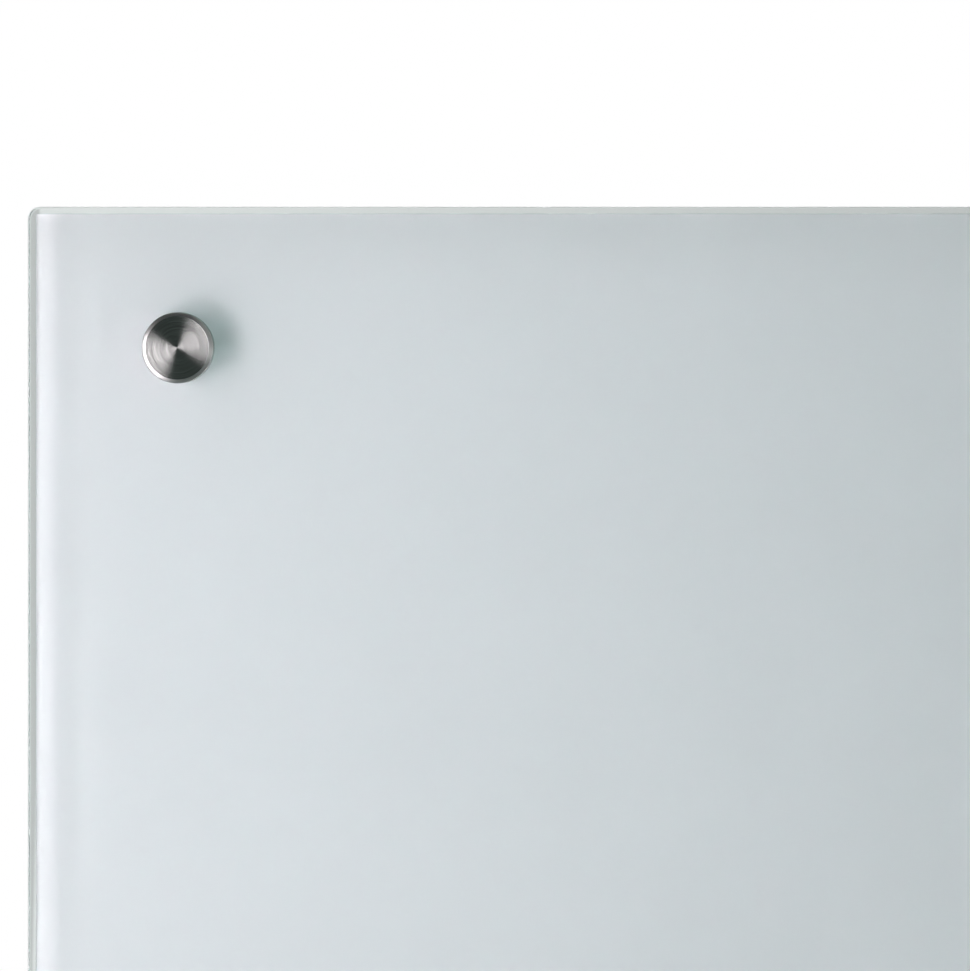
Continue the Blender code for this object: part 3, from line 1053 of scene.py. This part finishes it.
def buildStudio():
    world = bpy.data.worlds.new("studio")
    scene.world = world
    world.use_nodes = True
    tree = world.node_tree
    background = tree.nodes["Background"]
    coordinates = addNode(tree, "TexCoord")
    split = addNode(tree, "SeparateXYZ")
    join(tree, coordinates, "Generated", split, "Vector")
    path = addNode(tree, "LightPath")

    values = {"From Min": studio["belowFrom"], "From Max": studio["aboveFrom"]}
    values.update({"To Min": studio["below"], "To Max": studio["above"]})
    dim = addNode(tree, "MapRange", values, interpolation_type="SMOOTHSTEP")
    join(tree, split, "Z", dim, "Value")
    front = addNode(tree, "Mix", {"B": studio["open"]}, data_type="FLOAT")
    join(tree, path, "Is Diffuse Ray", front, "Factor")
    join(tree, dim, "Result", front, "A")

    # What glass and metal see behind the board
    start = studio["backdropFrom"]
    values = {"From Min": start, "From Max": studio["backdropTo"]}
    values.update({"To Min": studio["backdropLeft"], "To Max": studio["backdropRight"]})
    backdrop = addNode(tree, "MapRange", values)
    join(tree, split, "X", backdrop, "Value")
    values = {"From Min": start - studio["backdropEdge"], "From Max": start}
    inside = addNode(tree, "MapRange", values)
    join(tree, split, "X", inside, "Value")
    seen = addNode(tree, "Mix", {"A": studio["beside"]}, data_type="FLOAT")
    join(tree, inside, "Result", seen, "Factor")
    join(tree, backdrop, "Result", seen, "B")

    rear = addNode(tree, "Mix", {"B": studio["rear"]}, data_type="FLOAT")
    join(tree, path, "Is Diffuse Ray", rear, "Factor")
    join(tree, seen, "Result", rear, "A")

    values = {"From Min": studio["frontTo"], "From Max": studio["rearFrom"]}
    side = addNode(tree, "MapRange", values, interpolation_type="SMOOTHSTEP")
    join(tree, split, "Y", side, "Value")
    brightness = addNode(tree, "Mix", data_type="FLOAT")
    join(tree, side, "Result", brightness, "Factor")
    join(tree, front, "Result", brightness, "A")
    join(tree, rear, "Result", brightness, "B")
    strength = addNode(tree, "Mix", {"B": 1.0}, data_type="FLOAT")
    join(tree, path, "Is Camera Ray", strength, "Factor")
    join(tree, brightness, "Result", strength, "A")
    join(tree, strength, "Result", background, "Strength")

    colour = addNode(tree, "Mix", data_type="RGBA")
    colour.inputs["A"].default_value = (*studio["tint"], 1)
    colour.inputs["B"].default_value = (1, 1, 1, 1)
    white = addNode(tree, "Math", operation="MAXIMUM")
    join(tree, path, "Is Camera Ray", white, 0)
    join(tree, side, "Result", white, 1)
    plain = addNode(tree, "Math", operation="MAXIMUM")
    join(tree, white, "Value", plain, 0)
    join(tree, path, "Is Diffuse Ray", plain, 1)
    join(tree, plain, "Value", colour, "Factor")
    tree.links.new(colour.outputs["Result"], background.inputs["Color"])

    # From the right, a greenish fill for the caps' shadows and a low white card for the steel
    values = {"From Min": studio["fillFrom"], "From Max": studio["fillTo"]}
    values["To Max"] = studio["fill"]
    right = addNode(tree, "MapRange", values, interpolation_type="SMOOTHSTEP")
    join(tree, split, "X", right, "Value")
    values = {"From Min": studio["cardFrom"], "From Max": studio["cardTo"]}
    card = addNode(tree, "MapRange", values, interpolation_type="SMOOTHSTEP")
    join(tree, split, "X", card, "Value")
    values = {"From Min": studio["cardFullTo"], "From Max": studio["cardTopFrom"]}
    values.update({"To Min": studio["card"], "To Max": studio["cardTop"]})
    low = addNode(tree, "MapRange", values)
    join(tree, split, "Z", low, "Value")
    values = {"From Min": studio["cardFootTo"], "From Max": studio["cardFullFrom"]}
    values["To Min"] = studio["cardFoot"]
    foot = addNode(tree, "MapRange", values)
    join(tree, split, "Z", foot, "Value")
    shine = card.outputs["Result"]
    for share in (low.outputs["Result"], foot.outputs["Result"], path.outputs["Is Glossy Ray"]):
        product = addNode(tree, "Math", operation="MULTIPLY")
        tree.links.new(shine, product.inputs[0])
        tree.links.new(share, product.inputs[1])
        shine = product.outputs["Value"]
    glow = addNode(tree, "Mix", data_type="FLOAT")
    join(tree, path, "Is Transmission Ray", glow, "Factor")
    tree.links.new(shine, glow.inputs["A"])
    join(tree, right, "Result", glow, "B")
    reach = addNode(tree, "Mix", {"B": 0.0}, data_type="FLOAT")
    join(tree, white, "Value", reach, "Factor")
    join(tree, glow, "Result", reach, "A")
    tone = addNode(tree, "Mix", data_type="RGBA")
    tone.inputs["A"].default_value = (1, 1, 1, 1)
    tone.inputs["B"].default_value = (*studio["fillTint"], 1)
    join(tree, path, "Is Transmission Ray", tone, "Factor")
    fill = addNode(tree, "Background")
    tree.links.new(tone.outputs["Result"], fill.inputs["Color"])
    join(tree, reach, "Result", fill, "Strength")
    both = addNode(tree, "AddShader")
    join(tree, background, "Background", both, 0)
    join(tree, fill, "Background", both, 1)
    tree.links.new(both.outputs["Shader"], tree.nodes["World Output"].inputs["Surface"])


floor = {
    "size": 4.0,
    "squares": 8,
    "below": 0.5 * mm,
    "colour": (0.80, 0.80, 0.79),
    "shade": (0.77, 0.77, 0.765),
    "roughness": 0.7,
    "mottle": 3.0,
}


# The lamp is kept off the floor, because its foot almost stands there
def buildFloor(lamp):
    sheetOfPaper = bmesh.new()
    squares = floor["squares"]
    half = floor["size"] / 2
    bmesh.ops.create_grid(sheetOfPaper, x_segments=squares, y_segments=squares, size=half)
    mesh = bpy.data.meshes.new("floor")
    sheetOfPaper.to_mesh(mesh)
    sheetOfPaper.free()
    material, tree, shader = newFinish("pale floor", floor["colour"], floor["roughness"])
    coordinates = addNode(tree, "TexCoord")
    mottle = noise(tree, coordinates, "Object", floor["mottle"], detail=4.0)
    colourBetween(tree, shader, mottle, floor["shade"], floor["colour"])
    mesh.materials.append(material)
    ground = addObject("floor", mesh)
    ground.location = (0, 0, cadLow.z - floor["below"])
    ground.visible_glossy = False  # the steel mirrors the dim studio, as in the photograph
    unlit = bpy.data.collections.new("unlit")
    unlit.objects.link(ground)
    unlit.collection_objects[0].light_linking.link_state = "EXCLUDE"
    lamp.light_linking.receiver_collection = unlit


buildCamera()
softLamp = buildSoftBox()
buildStudio()
buildFloor(softLamp)
print("studio ready")
